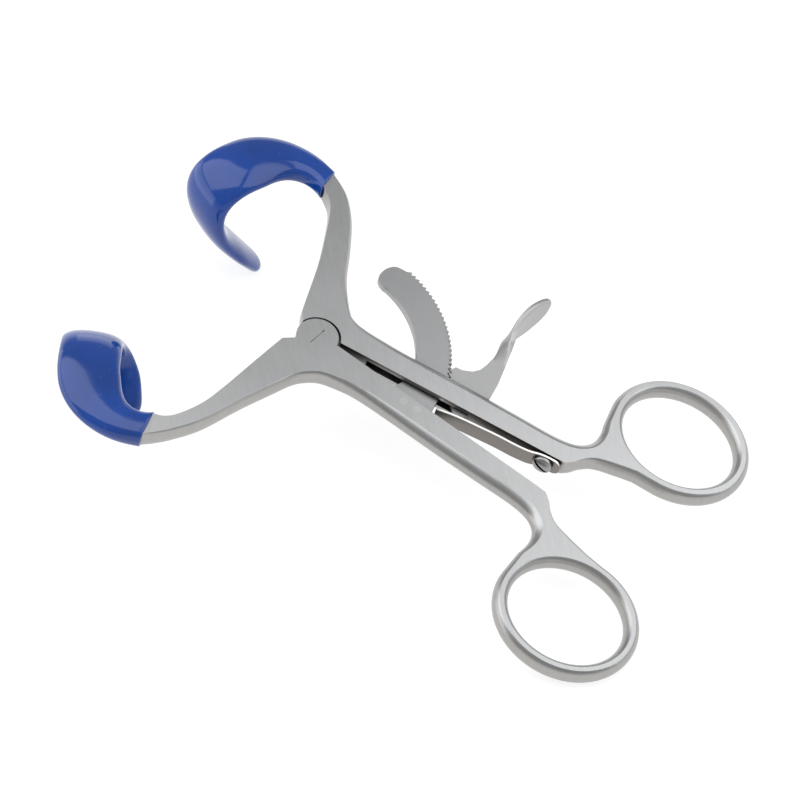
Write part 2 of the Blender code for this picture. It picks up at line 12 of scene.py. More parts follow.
import bmesh
import bpy
from mathutils import Matrix, Vector
from mathutils.geometry import tessellate_polygon


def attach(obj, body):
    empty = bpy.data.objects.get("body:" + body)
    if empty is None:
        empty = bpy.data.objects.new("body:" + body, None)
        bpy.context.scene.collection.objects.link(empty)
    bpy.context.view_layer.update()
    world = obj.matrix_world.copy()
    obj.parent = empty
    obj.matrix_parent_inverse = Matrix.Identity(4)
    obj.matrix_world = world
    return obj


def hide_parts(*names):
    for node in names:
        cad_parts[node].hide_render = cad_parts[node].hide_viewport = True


MM = 0.001

# The arms: thickness, half the angle between the handles, and the line of each inner edge.
ARM_THICK = 4.8
MIDDLE_Z = -ARM_THICK / 2
HALF_OPEN = 4.095
INNER_UPPER = 1.3
INNER_LOWER = -1.2

# The lap joint and its pivot.
BOSS_R = 4.95
RECESS_R = 5.42
RECESS_SHIFT = 0.14
LAP_OVERLAP = 0.05
PIVOT_R = 2.6

# The finger rings: the upper one is a little larger, and its centre further out in step
# with that. Rims round over by RIM_DEPTH.
RING_CENTRE = (83.7, 22.1)
RING_SHIFT = 9.0
RING_OUT = (16.7, 15.1)
RING_HOLE = (13.3, 11.6)
RING_TILT = -8.0
UPPER_RING_GROW = 1.045
RIM_DEPTH = 1.25

# The ratchet plate, its teeth in degrees about the pivot, and the slots it runs in.
RACK_INNER_R = 23.3
RACK_ROOT_R = 31.15
RACK_TIP_R = 32.1
PLATE_Z = (-3.3, -1.5)
SLOT_Z = (-3.6, -1.2)
TOOTH_STEP = 2.36
TOOTH_LEAN = 0.2 * TOOTH_STEP
TOOTH_FIRST = 9.5
TOOTH_COUNT = 29
PAWL_TEETH = (6, 5, 4)
MESH_GAP = 0.2

# Pins, rivets and the screw. Holes are SNUG wider, and pins stop just short of the flats.
RIVET_R = 0.9
RIVETS = ((25.4, 0.9), (29.0, 0.6))
LEVER_PIN = (36.5, 3.6)
LEVER_PIN_R = 0.9
SCREW_U = 59.2
SLOT_TURN = 28.7
PIVOT_SLOT_TURN = 81.335
SNUG = 0.006
PIN_Z = (-ARM_THICK + 0.02, -0.001)
THROUGH = (-8, 3)

# The leaf spring: where it starts and ends along the handle, and its cross-section.
SPRING_START = 32.15
SPRING_END = 63.4
SPRING_HALF_WIDTH = 2.3
SPRING_HALF_THICK = 0.3

# The boots' wall, and how far the arm's end goes into a boot and is narrower on each side.
BOOT_WALL = 0.8
JAW_TUCK = 0.6
JAW_INSET = 0.75

# The hooks, from the arm: a flat run that turns in the arms' plane from one heading to the
# other, a fold of 90 degrees downwards, a further bend to the full fold, and a straight leg.
# Widths and thicknesses are at the arm, at the bend and at the tip. Near the arm the boot is
# cut obliquely, and its section is squarer.
OBLIQUE_RUN = 5.0
SQUARE_RUN = 10.0
HOOK_UPPER = dict(
    start=(-19.7, 42.65), heading=(151.0, 242.0), turn=22.6, flat=25.2,
    fold_r=8.8, leg_r=13.9, fold=128.0, leg=16.0, drift=0.29,
    width=(6.4, 15.3, 9.8), thick=(5.7, 5.5, 4.1), oblique=28.0, ease=0.05,
)
HOOK_LOWER = dict(
    start=(-13.86, 44.4), heading=(138.0, 237.0), turn=25.4, flat=23.2,
    fold_r=13.2, leg_r=2.2, fold=135.0, leg=12.7, drift=0.48,
    width=(7.6, 13.9, 9.2), thick=(5.7, 5.5, 3.9), oblique=26.0, ease=0.47,
)

# The viewing angle, over the flat of the arms and from the pivot.
VIEW_ELEVATION = 55.0
VIEW_ROLL = 19.0
VIEW_TURN = 15.335
VIEW_AIM = (22.715, -9.395, 0.0)
VIEW_DISTANCE = 454.545
VIEW_LENS = 90.0

# Colour of the arms where they round over, darker than the flats: painted shade, for the
# shadowed floor that the rounded sides reflect.
SHADED_SIDE_GREY = (0.39, 0.384, 0.372)

# Each steel: its side colour, brushing and wear, and where it has one, its colour on top;
# the top and side colours are painted light and painted shade.
STEELS = {
    "upper_arm_steel": dict(
        colour=SHADED_SIDE_GREY, roughness=0.31, turn=-40.0, brush=0.03, pitted=0.0, grain=1.2,
        top=(0.44, 0.446, 0.451),
    ),
    "lower_arm_steel": dict(
        colour=SHADED_SIDE_GREY, roughness=0.31, turn=-44.0, brush=0.03, pitted=0.0, grain=1.2,
        top=(0.405, 0.41, 0.414),
    ),
    "ratchet_steel": dict(
        colour=(0.375, 0.378, 0.384), roughness=0.34, turn=-30.0, brush=0.15, pitted=0.1, grain=0.4,
    ),
    "lever_steel": dict(
        colour=(0.41, 0.412, 0.415), roughness=0.42, turn=-60.0, brush=0.05, pitted=0.0, grain=0.4,
    ),
    # The spring's painted light: a near-white top colour as a painted highlight on its upper edge,
    # and a dark brown face as a painted reflection of the lower arm and of shade.
    "spring_strip_steel": dict(
        colour=(0.225, 0.208, 0.192), roughness=0.3, turn=70.0, brush=0.0, pitted=0.0, grain=0.1,
        top=(0.9, 0.9, 0.88), shade_depth=0.8,
    ),
    "screw_steel": dict(
        colour=(0.33, 0.33, 0.33), roughness=0.3, turn=0.0, brush=0.1, pitted=0.0, grain=0.3,
    ),
    "pin_steel": dict(
        colour=(0.45, 0.454, 0.456), roughness=0.33, turn=30.0, brush=0.05, pitted=0.0, grain=1.0,
    ),
}
SILICONE_BLUE = (0.003, 0.045, 0.262)
SPECK_BLUE = (0.13, 0.2, 0.5, 1.0)

# Texture cells to the metre: brush lines are long along the second axis.
FINE_BRUSH = (3400.0, 130.0, 1200.0)
COARSE_BRUSH = (1000.0, 42.0, 400.0)
CLOUDS = (60.0, 60.0, 60.0)
PITS = (3400.0, 3400.0, 3400.0)
BLUE_CLOUDS = (90.0, 90.0, 90.0)
RIPPLE = (420.0, 420.0, 420.0)
SPECKS = (520.0, 520.0, 520.0)

# How near surfaces have to be, in metres, for the corner between them to take painted shade.
CORNER_REACH = 0.0026

# Studio light: the room's own glow, then soft panels as place, size and brightness.
HORIZON_LIGHT = 0.88
WALL_LIGHT = 0.37
ROOM_LIGHT = 0.46
ZENITH_LIGHT = 0.30
TABLE_GLOW = 0.84
TABLE_HALF = 1.6
PANELS = {
    "key_panel": ((0.40, 0.22, 0.50), (0.72, 0.80), 1.42),
    "left_panel": ((-0.26, -0.09, 0.47), (0.46, 0.76), 1.65),
    "low_panel": ((-0.45, -0.16, 0.10), (0.60, 0.18), 1.2),
    "back_panel": ((-0.26, 0.44, 0.11), (0.30, 0.20), 0.7),
}


# ---- placing ----------------------------------------------------------------


def tool_matrix(frame):
    """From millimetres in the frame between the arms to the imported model's metres."""
    hinge = next(joint for joint in frame["joints"] if joint["name"] == "jaw_hinge")
    up = Vector(hinge["axis"]).normalized()
    along = Vector((0, 1, 0)).cross(up).normalized()
    side = up.cross(along)
    top = Vector(hinge["pos_m"]) + up * ARM_THICK / 2 * MM
    turn = Matrix((along, side, up)).transposed().to_4x4()
    return Matrix.Translation(top) @ turn @ Matrix.Scale(MM, 4)


def arm_matrix(tool, side):
    """An arm's own frame: side is 1 for the upper arm and -1 for the lower one."""
    turned = tool @ Matrix.Rotation(math.radians(HALF_OPEN) * side, 4, "Z")
    return turned if side > 0 else turned @ Matrix.Diagonal((1, -1, 1, 1))


# ---- mesh helpers -----------------------------------------------------------


def new_mesh(name, points, faces):
    """An object from points in millimetres, closed and facing outwards."""
    mesh = bpy.data.meshes.new(name)
    mesh.from_pydata([Vector(p) for p in points], [], faces)
    shape = bmesh.new()
    shape.from_mesh(mesh)
    bmesh.ops.recalc_face_normals(shape, faces=shape.faces)
    if shape.calc_volume(signed=True) < 0:
        bmesh.ops.reverse_faces(shape, faces=shape.faces)
    shape.to_mesh(mesh)
    shape.free()
    made = bpy.data.objects.new(name, mesh)
    bpy.context.scene.collection.objects.link(made)
    return made


def carve(target, cutters, operation="DIFFERENCE"):
    """Booleans with each cutter in turn, applied; the cutters are removed."""
    for tool in cutters:
        step = target.modifiers.new(tool.name, "BOOLEAN")
        step.operation = operation
        step.solver = "EXACT"
        step.object = tool
    bpy.context.view_layer.update()
    graph = bpy.context.evaluated_depsgraph_get()
    fresh = bpy.data.meshes.new_from_object(target.evaluated_get(graph))
    target.modifiers.clear()
    target.data = fresh
    for tool in cutters:
        bpy.data.objects.remove(tool, do_unlink=True)


def crease(target, limit=30.0):
    """Smooth shading, but sharp wherever a flat top, bottom or wall meets a curve."""
    shape = bmesh.new()
    shape.from_mesh(target.data)
    for face in shape.faces:
        face.smooth = True
    for edge in shape.edges:
        if len(edge.link_faces) != 2:
            continue
        one, two = edge.link_faces
        bend = math.degrees(one.normal.angle(two.normal, 0.0))
        flats = (abs(one.normal.z) > 0.9999) + (abs(two.normal.z) > 0.9999)
        edge.smooth = not (bend > limit or (flats == 1 and bend > 4.0))
    shape.to_mesh(target.data)
    shape.free()


def place(target, matrix, body, look, slot, *nodes):
    """Moves a finished mesh to its place, gives it its look and body, and hides what it replaces.
    """
    target.data.transform(matrix)
    if matrix.determinant() < 0:
        target.data.flip_normals()
    target.data.materials.clear()
    target.data.materials.append(look)
    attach(target, body)
    if nodes:
        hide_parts(*nodes)


def spline(points, steps):
    """Catmull-Rom curve through the points, without its last point."""
    ends = [points[0]] + list(points) + [points[-1]]
    found = []
    for i in range(1, len(ends) - 2):
        p0, p1, p2, p3 = ends[i - 1], ends[i], ends[i + 1], ends[i + 2]
        for k in range(steps):
            t = k / steps
            found.append(tuple(
                0.5 * (2 * b + (c - a) * t + (2 * a - 5 * b + 4 * c - d) * t * t
                       + (3 * b - a - 3 * c + d) * t ** 3)
                for a, b, c, d in zip(p0, p1, p2, p3)
            ))
    return found


def ellipse(centre, radii, tilt, start, end, count, rounding):
    """Points of a tilted ellipse from one angle to another, each with its rounding depth."""
    turn = math.radians(tilt)
    found = []
    for k in range(count):
        a = math.radians(start + (end - start) * k / (count - 1))
        x = radii[0] * math.cos(a)
        y = radii[1] * math.sin(a)
        found.append((
            centre[0] + x * math.cos(turn) - y * math.sin(turn),
            centre[1] + x * math.sin(turn) + y * math.cos(turn),
            rounding,
        ))
    return found


def inward(loop):
    """Mitred normals to the left of each point of a closed loop of (u, v, ...)."""
    found = []
    for i, point in enumerate(loop):
        before = Vector(loop[i - 1][:2])
        here = Vector(point[:2])
        after = Vector(loop[(i + 1) % len(loop)][:2])
        one = (here - before).normalized()
        two = (after - here).normalized()
        along = (one + two).normalized()
        stretch = 1.0 / max(math.sqrt(max(0.5 + 0.5 * one.dot(two), 0.0)), 0.6)
        found.append((-along.y * stretch, along.x * stretch))
    return found


def slab(name, loops, low, high, levels):
    """A plate whose edges round over by each point's own depth, the third number.

    The first loop runs anticlockwise and the holes clockwise. Levels run from -1 at
    the bottom to 1 at the top. The rounding is the reach share of a half circle.
    """
    reach = 0.93
    full = 1.0 - math.sqrt(1.0 - reach * reach)
    middle = (low + high) / 2
    half = (high - low) / 2
    points = []
    faces = []
    starts = []
    for level in levels:
        share = (1.0 - math.sqrt(1.0 - (reach * level) ** 2)) / full
        for loop in loops:
            if level == levels[0]:
                starts.append(len(points))
            for (u, v, depth), (nx, ny) in zip(loop, inward(loop)):
                inset = depth * share
                points.append((u + nx * inset, v + ny * inset, middle + half * level))
    ring = sum(len(loop) for loop in loops)
    for row in range(len(levels) - 1):
        for loop, start in zip(loops, starts):
            for i in range(len(loop)):
                a = row * ring + start + i
                b = row * ring + start + (i + 1) % len(loop)
                faces.append((a, b, b + ring, a + ring))
    for row in (0, len(levels) - 1):
        base = row * ring
        flat = []
        for loop, start in zip(loops, starts):
            corners = points[base + start:base + start + len(loop)]
            flat.append([Vector((x, y, 0.0)) for x, y, _ in corners])
        for corners in tessellate_polygon(flat):
            faces.append(tuple(corner + base for corner in corners))
    return new_mesh(name, points, faces)


def round_levels(count):
    """Levels that crowd towards both flats, where the rounding is tightest."""
    return [math.sin(math.pi / 2 * (2 * k / (count - 1) - 1)) for k in range(count)]


CHAMFER_LEVELS = (-1.0, -0.93, -0.8, 0.8, 0.93, 1.0)


def prism(name, outline, low, high):
    """A plain sharp-edged plate between two heights."""
    loop = [(u, v, 0.0) for u, v in outline]
    return slab(name, [loop], low, high, (-1.0, 1.0))


def disc(centre, radius, count=96):
    """Outline of a circle, as slab takes it, with no rounding."""
    return [
        (centre[0] + radius * math.cos(2 * math.pi * k / count),
         centre[1] + radius * math.sin(2 * math.pi * k / count), 0.0)
        for k in range(count)
    ]


def flat_disc(centre, radius):
    """The same circle as (u, v) pairs, as prism takes it."""
    return [spot[:2] for spot in disc(centre, radius)]


def puck(name, centre, radius, low, high):
    """A short upright cylinder."""
    return slab(name, [disc(centre, radius)], low, high, (-1.0, 1.0))


def block(name, low, high):
    """A box between two opposite corners."""
    outline = [(low[0], low[1]), (high[0], low[1]), (high[0], high[1]), (low[0], high[1])]
    return prism(name, outline, low[2], high[2])


def loft(name, rings):
    """A closed skin over rings of points, capped at both ends."""
    around = len(rings[0])
    points = [p for ring in rings for p in ring]
    faces = []
    for row in range(len(rings) - 1):
        for k in range(around):
            a = row * around + k
            b = row * around + (k + 1) % around
            faces.append((a, b, b + around, a + around))
    faces.append(tuple(range(around))[::-1])
    faces.append(tuple(range(len(points) - around, len(points))))
    return new_mesh(name, points, faces)


def turned(name, profile, centre, axis, count=64):
    """A turned solid: profile is (distance along axis, radius) pairs, ends closed."""
    turn = Vector(axis).to_track_quat("Z", "Y")
    rings = []
    for along, radius in profile:
        ring = []
        for k in range(count):
            a = 2 * math.pi * k / count
            spot = Vector((radius * math.cos(a), radius * math.sin(a), along))
            ring.append(Vector(centre) + turn @ spot)
        rings.append(ring)
    return loft(name, rings)


# ---- hooks ------------------------------------------------------------------


def between(value, stops):
    """Straight-line value between (position, amount) stops."""
    for (a, x), (b, y) in zip(stops, stops[1:]):
        if value <= b:
            return x + (y - x) * max(value - a, 0.0) / (b - a)
    return stops[-1][1]


def eased(value, stops):
    """As between, but easing in and out of each stop."""
    for (a, x), (b, y) in zip(stops, stops[1:]):
        if value <= b:
            t = max(value - a, 0.0) / (b - a)
            return x + (y - x) * t * t * (3 - 2 * t)
    return stops[-1][1]


def hook_path(hook):
    """Stations of the hook's middle line: distance, place, run, across and normal."""
    fold_end = hook["flat"] + hook["fold_r"] * math.pi / 2
    leg_end = fold_end + hook["leg_r"] * math.radians(hook["fold"] - 90)
    total = leg_end + hook["leg"]
    fold = hook["fold"]
    bends = ((0, 0), (hook["flat"], 0), (fold_end, 90), (leg_end, fold), (total, fold))
    smoothing = (-2.4, -1.2, 0, 1.2, 2.4)
    place_now = Vector((hook["start"][0], hook["start"][1], MIDDLE_Z))
    steps = 480
    found = []
    last = None
    for k in range(steps + 1):
        s = total * k / steps
        pitch = math.radians(sum(between(s + d, bends) for d in smoothing) / 5)
        share = min(s / hook["turn"], 1.0)
        share += hook["ease"] * share * (1 - share)
        yaw = math.radians(hook["heading"][0] + (hook["heading"][1] - hook["heading"][0]) * share)
        level = Vector((math.cos(yaw), math.sin(yaw), 0))
        across = Vector((-math.sin(yaw), math.cos(yaw), 0))
        run = level * math.cos(pitch) - Vector((0, 0, 1)) * math.sin(pitch)
        normal = level * math.sin(pitch) + Vector((0, 0, 1)) * math.cos(pitch)
        slide = hook["drift"] * min(max((math.degrees(pitch) - 40) / 50, 0), 1)
        travel = run + across * slide
        if last is not None:
            place_now = place_now + (last + travel) * (total / steps / 2)
        last = travel
        found.append((s, place_now.copy(), run, across, normal))
    return found, total


def hook_ring(hook, total, station, around, shrink, reach):
    """One ring of the hook's skin, drawn in by shrink and rounded off towards reach."""
    s, centre, run, across, normal = station
    share = s / total
    w = hook["width"]
    t = hook["thick"]
    width = eased(share, ((0, w[0]), (0.35, w[1]), (0.8, w[1]), (1, w[2]))) - 2 * shrink
    thick = between(share, ((0, t[0]), (0.35, t[1]), (1, t[2]))) - 2 * shrink
    left = max(reach - s, 0.0)
    width *= max(math.sqrt(max(1 - (1 - min(left / (width / 2), 1)) ** 2.4, 0)), 0.02)
    thick *= max(math.sqrt(max(1 - (1 - min(left / (thick / 2), 1)) ** 2, 0)), 0.02)
    lean = math.tan(math.radians(hook["oblique"])) * min(max(1 - s / OBLIQUE_RUN, 0), 1)
    wide_power = between(s, ((0, 0.6), (SQUARE_RUN, 0.85)))
    thick_power = between(s, ((0, 0.75), (SQUARE_RUN, 1.0)))
    ring = []
    for k in range(around):
        a = 2 * math.pi * k / around
        x = math.copysign(abs(math.cos(a)) ** wide_power, math.cos(a)) * width / 2
        y = math.copysign(abs(math.sin(a)) ** thick_power, math.sin(a)) * thick / 2
        ring.append(centre + across * x + normal * y - run * x * lean)
    return ring


def boot(name, hook):
    """Silicone boot: outer skin, a rounded rim where the arm enters, and an inner skin."""
    path, total = hook_path(hook)
    around = 72
    near_tip = (0.02, 0.1, 0.25, 0.5, 0.8, 1.2, 1.7, 2.3, 3.0)
    rim = ((0.16, 0.06), (0.04, 0.2), (0.0, 0.4), (0.04, 0.6), (0.16, 0.74))
    rim_start = 0.35
    inner_start = 0.4
    inner_length = 9.0
    long_run = total - near_tip[-1] - rim_start
    spots = [total - from_tip for from_tip in near_tip]
    spots += [spots[-1] - long_run * k / 96 for k in range(1, 97)]
    rings = []
    for s in spots:
        rings.append(hook_ring(hook, total, nearest(path, s), around, 0.0, total))
    for s, shrink in rim:
        rings.append(hook_ring(hook, total, nearest(path, s), around, shrink, total))
    for k in range(12):
        station = nearest(path, inner_start + inner_length * k / 11)
        rings.append(hook_ring(hook, total, station, around, BOOT_WALL, total - BOOT_WALL))
    made = loft(name, rings)
    for polygon in made.data.polygons:
        polygon.use_smooth = True
    return made


def nearest(path, s):
    """The station at distance s, blended between its neighbours."""
    step = path[1][0] - path[0][0]
    place_in = min(max(s / step, 0.0), len(path) - 1.001)
    i = int(place_in)
    t = place_in - i
    one, two = path[i], path[i + 1]
    mixed = [one[k].lerp(two[k], t) for k in range(1, 5)]
    return (s, *mixed)


def blade_root(name, hook):
    """The steel tongue that goes into the boot, starting inside the arm."""
    path, total = hook_path(hook)
    _, spot, run, across, normal = path[0]
    shrink = 1.0
    around = 32
    step = 0.9
    stations = [(0.0, spot - run * back, run, across, normal) for back in (2.4, 1.2)]
    stations += [nearest(path, step * k) for k in range(10)]
    return loft(name, [hook_ring(hook, total, s, around, shrink, total) for s in stations])


# ---- arms -------------------------------------------------------------------


def ring_shape(inner, grow):
    """Centre, outer and hole semi-axes of a finger ring, grown from the named size."""
    centre = (RING_CENTRE[0] + RING_SHIFT * (grow - 1), RING_CENTRE[1] + inner)
    outer = (RING_OUT[0] * grow, RING_OUT[1] * grow)
    hole = (RING_HOLE[0] * grow, RING_HOLE[1] * grow)
    return centre, outer, hole


def ring_hole(inner, grow):
    """Clockwise outline of the hole of a finger ring."""
    centre, _, hole = ring_shape(inner, grow)
    loop = ellipse(centre, hole, RING_TILT, 0, 358, 180, RIM_DEPTH)
    return loop[::-1]


def arm_outline(inner, grow, outside, jaw_corner, inside, joint):
    """Anticlockwise outline of one arm in (u, v, rounding depth).

    It runs along the handle's inner edge, round the finger ring, back along the outside
    to the jaw, and in again by the jaw's inside and the joint, which the arms don't share.
    """
    handle = [(5.1, inner, 0.12), (12.0, inner, 0.14), (61.0, inner, 0.14)]
    neck_low = spline([
        (63.7, inner + 0.1, 0.15), (65.6, inner + 1.3, 0.4), (67.4, inner + 3.1, 0.7),
        (70.0, inner + 4.7, 1.0), (74.5, inner + 5.7, 1.2), (79.5, inner + 6.6, 1.2),
    ], 8)
    centre, outer, _ = ring_shape(inner, grow)
    ring = ellipse(centre, outer, RING_TILT, -82, 186, 160, RIM_DEPTH)
    neck_high = spline([
        (67.1, inner + 16.6, 1.2), (67.5, inner + 13.4, 1.5), (67.1, inner + 10.6, 1.8),
        (65.6, inner + 8.4, 2.0), (62.8, inner + 7.0, 2.1), (58.0, inner + 6.5, 2.1),
        (50.0, inner + 6.75, 2.1),
    ], 8)
    back = [(40.0, inner + 7.0, 2.1)]
    return handle + neck_low + ring + neck_high + back + outside + [jaw_corner] + inside + joint


def jaw_end(hook):
    """The near and far corners where the arm's flat stops, just inside the boot."""
    yaw = math.radians(hook["heading"][0])
    lean = math.tan(math.radians(hook["oblique"]))
    half = hook["width"][0] / 2 - JAW_INSET
    run = Vector((math.cos(yaw), math.sin(yaw)))
    across = Vector((-run.y, run.x))
    base = Vector(hook["start"]) + run * JAW_TUCK
    return base + across * half - run * half * lean, base - across * half + run * half * lean


def upper_arm_shape():
    """The upper arm: the lap joint's lower half, and the slot for the ratchet and lever."""
    near, far = jaw_end(HOOK_UPPER)
    outside = spline([
        (30.0, 8.4, 2.1), (20.0, 8.45, 2.1), (14.0, 8.7, 2.0), (9.0, 9.0, 1.8), (5.4, 9.7, 1.4),
        (2.9, 11.6, 1.1), (-1.8, 18.8, 1.0), (-5.4, 27.4, 0.95), (-9.3, 35.6, 0.9),
        (-14.0, 41.8, 0.8), (far.x, far.y, 0.5),
    ], 8)
    inside = spline([
        (near.x, near.y, 0.2), (-17.0, 37.2, 0.25), (-15.1, 34.1, 0.25), (-12.8, 28.0, 0.2),
        (-9.9, 18.9, 0.15), (-7.2, 7.2, 0.15),
    ], 8) + [(-6.5, 4.3, 0.15)]
    joint = [(-5.9, 3.1, 0.3), (-5.1, 2.0, 0.3), (-4.7, 1.2, 0.1)]
    grow = UPPER_RING_GROW
    outline = arm_outline(INNER_UPPER, grow, outside, (far.x, far.y, 0.3), inside, joint)
    hole = ring_hole(INNER_UPPER, grow)
    arm = slab("upper_arm_forging", [outline, hole], -ARM_THICK, 0.0, round_levels(21))
    lap_top = MIDDLE_Z - LAP_OVERLAP
    carve(arm, [prism("recess", flat_disc((RECESS_SHIFT, 0), RECESS_R), lap_top, 2.0)])
    carve(arm, [puck("lap", (0, 0), BOSS_R, -ARM_THICK, lap_top)], "UNION")
    carve(arm, [blade_root("root", HOOK_UPPER)], "UNION")
    carve(arm, [
        puck("pivot_hole", (0, 0), PIVOT_R + SNUG, *THROUGH),
        block("slot", (20.5, 2.2, SLOT_Z[0]), (43.5, 12.0, SLOT_Z[1])),
        block("slot_mouth", (20.5, -1.0, SLOT_Z[0]), (39.05, 2.3, SLOT_Z[1])),
        block("pocket", (12.5, -1.0, SLOT_Z[0]), (20.6, 4.3, SLOT_Z[1])),
        puck("lever_hole", LEVER_PIN, LEVER_PIN_R + SNUG, *THROUGH),
    ])
    return arm


def lower_arm_shape():
    """The lower arm: the lap joint's upper half, and the slot the ratchet is riveted in."""
    near, far = jaw_end(HOOK_LOWER)
    outside = spline([
        (30.0, 5.85, 2.0), (20.0, 5.9, 1.7), (14.5, 6.2, 1.4), (10.5, 7.0, 1.1), (7.1, 8.1, 1.0),
        (4.6, 10.2, 1.0), (2.9, 12.7, 1.0), (1.3, 16.9, 0.95), (-1.9, 25.8, 0.9),
        (-5.0, 35.8, 0.85), (-8.4, 42.2, 0.8), (-11.2, 46.0, 0.7), (far.x, far.y, 0.5),
    ], 8)
    inside = spline([
        (near.x, near.y, 0.2), (-12.7, 40.3, 0.25), (-10.7, 37.7, 0.2), (-8.6, 32.1, 0.2),
        (-7.6, 25.7, 0.15), (-6.7, 14.6, 0.15),
    ], 8) + [(-5.9, 6.2, 0.12)]
    joint = [(-5.8, 5.8, 0.1), (-3.5, 3.5, 0.1), (0.0, 1.5, 0.1)]
    outline = arm_outline(INNER_LOWER, 1.0, outside, (far.x, far.y, 0.3), inside, joint)
    hole = ring_hole(INNER_LOWER, 1.0)
    arm = slab("lower_arm_forging", [outline, hole], -ARM_THICK, 0.0, round_levels(21))
    boss_base = MIDDLE_Z + LAP_OVERLAP
    carve(arm, [prism("recess", flat_disc((0, 0), RECESS_R), -8.0, boss_base)])
    carve(arm, [puck("boss", (0, 0), BOSS_R, boss_base, 0.0)], "UNION")
    carve(arm, [blade_root("root", HOOK_LOWER)], "UNION")
    cutters = [
        puck("pivot_hole", (0, 0), PIVOT_R + SNUG, *THROUGH),
        block("slot", (20.8, -4.0, SLOT_Z[0]), (33.0, 3.9, SLOT_Z[1])),
    ]
    cutters += [puck("rivet_hole", spot, RIVET_R + SNUG, *THROUGH) for spot in RIVETS]
    carve(arm, cutters)
    return arm


# ---- plates, spring and fixings ---------------------------------------------


def polar(radius, angle, rounding=0.12):
    """A point about the pivot, with its rounding depth."""
    a = math.radians(angle)
    return (radius * math.cos(a), radius * math.sin(a), rounding)


def lower_point(u, v):
    """A point of the lower arm's frame in the frame between the arms."""
    a = math.radians(-HALF_OPEN)
    return (u * math.cos(a) + v * math.sin(a), u * math.sin(a) - v * math.cos(a))


def ratchet_shape():
    """Toothed arc about the pivot, in the frame between the arms."""
    outline = [polar(31.65, -10.2), polar(31.65, -2.0), polar(31.5, TOOTH_FIRST - 1.5)]
    for k in range(TOOTH_COUNT):
        base = TOOTH_FIRST + TOOTH_STEP * k
        outline.append(polar(RACK_ROOT_R, base, 0.04))
        outline.append(polar(RACK_TIP_R, base + TOOTH_LEAN, 0.08))
    last = TOOTH_FIRST + TOOTH_STEP * TOOTH_COUNT
    tip = [polar(31.2, last), polar(30.4, last + 5.0), polar(28.6, last + 7.6),
           polar(26.4, last + 8.4), polar(24.6, last + 7.4), polar(23.6, last + 4.2)]
    outline += spline(tip + [polar(RACK_INNER_R, last)], 5)
    root_start = 15.0
    for k in range(60):
        outline.append(polar(RACK_INNER_R, last - (last - root_start) * k / 59, 0.32))
    root = [polar(22.8, 10.5), polar(21.7, 5.0), polar(20.9, 1.0), polar(20.9, -3.0)]
    outline += spline(root + [polar(21.2, -12.0)], 4)
    outline += [polar(21.2, -12.6, 0.05), (24.0, -4.9, 0.05), (28.5, -5.3, 0.05)]
    bar = slab("ratchet_plate", [outline], *PLATE_Z, CHAMFER_LEVELS)
    spots = [lower_point(*spot) for spot in RIVETS]
    carve(bar, [puck("rivet_hole", spot, RIVET_R + SNUG, *THROUGH) for spot in spots])
    return bar


def ribbon_ring(left, right, twist, thick, square):
    """A rounded-rectangle ring across a ribbon from left to right, twisted about its run."""
    around = 40
    left = Vector((*left, 0))
    right = Vector((*right, 0))
    middle = (left + right) / 2
    half = (right - left).length / 2
    flat = (right - left).normalized()
    a = math.radians(twist)
    wide = flat * math.cos(a) + Vector((0, 0, 1)) * math.sin(a)
    deep = wide.cross(flat.cross(Vector((0, 0, 1)))).normalized()
    centre = middle + Vector((0, 0, sum(PLATE_Z) / 2))
    ring = []
    for k in range(around):
        b = 2 * math.pi * (k + 0.5) / around
        x = math.copysign(abs(math.cos(b)) ** square, math.cos(b)) * half
        y = math.copysign(abs(math.sin(b)) ** square, math.sin(b)) * thick / 2
        ring.append(centre + wide * x + deep * y)
    return ring


def lever_shape():
    """The pawl plate with its teeth, up to where the stem starts to twist."""
    right = [(36.0, -0.7), (38.0, -0.55), (38.9, 1.0), (40.4, 4.0), (41.3, 8.5), (41.2, 14.0),
             (40.8, 17.4), (40.62, 18.9)]
    left = [(37.0, 18.9), (36.6, 16.6), (35.9, 14.5), (34.6, 13.0), (32.4, 12.0), (30.75, 11.9)]
    teeth = []
    for k in PAWL_TEETH:
        base = TOOTH_FIRST + TOOTH_STEP * k - HALF_OPEN
        teeth.append(polar(RACK_TIP_R + MESH_GAP, base + TOOTH_LEAN)[:2])
        teeth.append(polar(RACK_ROOT_R + MESH_GAP, base)[:2])
    foot = [(32.3, 7.6), (32.8, 5.2), (33.7, 2.7), (35.2, 1.2)]
    plate = [(u, v, 0.06) for u, v in right + left + teeth + foot]
    return slab("lever_plate", [plate], *PLATE_Z, CHAMFER_LEVELS)


